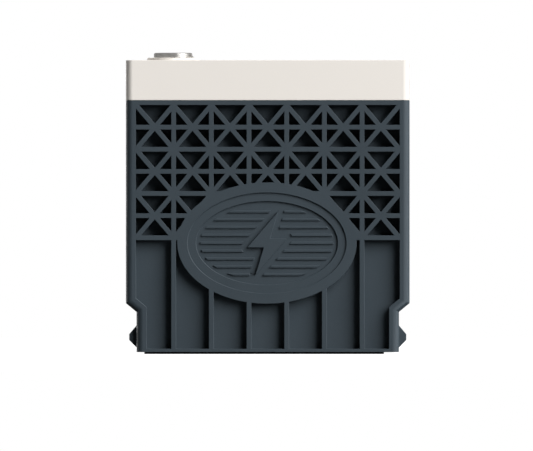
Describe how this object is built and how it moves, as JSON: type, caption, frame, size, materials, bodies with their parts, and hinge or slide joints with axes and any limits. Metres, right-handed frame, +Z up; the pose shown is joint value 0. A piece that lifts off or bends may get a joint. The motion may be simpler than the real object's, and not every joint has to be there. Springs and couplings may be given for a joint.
{
  "type": "motorcycle battery",
  "caption": "Sealed lead-acid starter battery: slate case with ribbed lattice walls, cream lid, round threaded pad terminals, lift-off vent strip over relief valves, full cells inside.",
  "frame": {"origin": "centre of the footprint, on the plane that the foot pad rests on", "axes": "+Z up; Y is the length along which the cells stand; -Y is the end by the positive terminal; both terminals are on the -X side"},
  "size_m": [0.166, 0.198, 0.1765],
  "materials": {
    "case_plastic": "satin moulded slate grey",
    "lid_plastic": "satin moulded cream",
    "foot_pad": "matte black",
    "terminal_metal": "tin-plated, bright turned",
    "seal_rubber": "matte black",
    "positive_epoxy": "cast red resin",
    "negative_epoxy": "cast blue resin",
    "lead": "dull cast lead alloy",
    "valve_rubber": "matte black",
    "positive_paste": "dark brown pasted plate",
    "negative_paste": "grey pasted plate",
    "glass_mat": "white glass-fibre mat"
  },
  "bodies": {
    "battery": {"case": "case_plastic", "cover": "lid_plastic", "foot_pad": "foot_pad", "intercell_welds": "lead", "positive_terminal": "terminal_metal", "positive_seal_ring": "seal_rubber", "positive_potting": "positive_epoxy", "positive_post": "lead", "negative_terminal": "terminal_metal", "negative_seal_ring": "seal_rubber", "negative_potting": "negative_epoxy", "negative_post": "lead", "cell_1_positive_plates": "positive_paste", "cell_1_negative_plates": "negative_paste", "cell_1_separators": "glass_mat", "cell_1_positive_strap": "lead", "cell_1_negative_strap": "lead", "cell_2_positive_plates": "positive_paste", "cell_2_negative_plates": "negative_paste", "cell_2_separators": "glass_mat", "cell_2_positive_strap": "lead", "cell_2_negative_strap": "lead", "cell_3_positive_plates": "positive_paste", "cell_3_negative_plates": "negative_paste", "cell_3_separators": "glass_mat", "cell_3_positive_strap": "lead", "cell_3_negative_strap": "lead", "cell_4_positive_plates": "positive_paste", "cell_4_negative_plates": "negative_paste", "cell_4_separators": "glass_mat", "cell_4_positive_strap": "lead", "cell_4_negative_strap": "lead", "cell_5_positive_plates": "positive_paste", "cell_5_negative_plates": "negative_paste", "cell_5_separators": "glass_mat", "cell_5_positive_strap": "lead", "cell_5_negative_strap": "lead", "cell_6_positive_plates": "positive_paste", "cell_6_negative_plates": "negative_paste", "cell_6_separators": "glass_mat", "cell_6_positive_strap": "lead", "cell_6_negative_strap": "lead"},
    "vent_cover": {"vent_cover": "lid_plastic"},
    "relief_valve_1": {"relief_valve_1": "valve_rubber"},
    "relief_valve_2": {"relief_valve_2": "valve_rubber"},
    "relief_valve_3": {"relief_valve_3": "valve_rubber"},
    "relief_valve_4": {"relief_valve_4": "valve_rubber"},
    "relief_valve_5": {"relief_valve_5": "valve_rubber"},
    "relief_valve_6": {"relief_valve_6": "valve_rubber"}
  },
  "joints": [
    {"name": "vent_cover_lift", "type": "slide", "parent": "battery", "child": "vent_cover", "axis": [0, 0, 1], "range_m": [0, 0.025]},
    {"name": "relief_valve_1_lift", "type": "slide", "parent": "battery", "child": "relief_valve_1", "axis": [0, 0, 1], "range_m": [0, 0.0007]},
    {"name": "relief_valve_2_lift", "type": "slide", "parent": "battery", "child": "relief_valve_2", "axis": [0, 0, 1], "range_m": [0, 0.0007]},
    {"name": "relief_valve_3_lift", "type": "slide", "parent": "battery", "child": "relief_valve_3", "axis": [0, 0, 1], "range_m": [0, 0.0007]},
    {"name": "relief_valve_4_lift", "type": "slide", "parent": "battery", "child": "relief_valve_4", "axis": [0, 0, 1], "range_m": [0, 0.0007]},
    {"name": "relief_valve_5_lift", "type": "slide", "parent": "battery", "child": "relief_valve_5", "axis": [0, 0, 1], "range_m": [0, 0.0007]},
    {"name": "relief_valve_6_lift", "type": "slide", "parent": "battery", "child": "relief_valve_6", "axis": [0, 0, 1], "range_m": [0, 0.0007]}
  ]
}
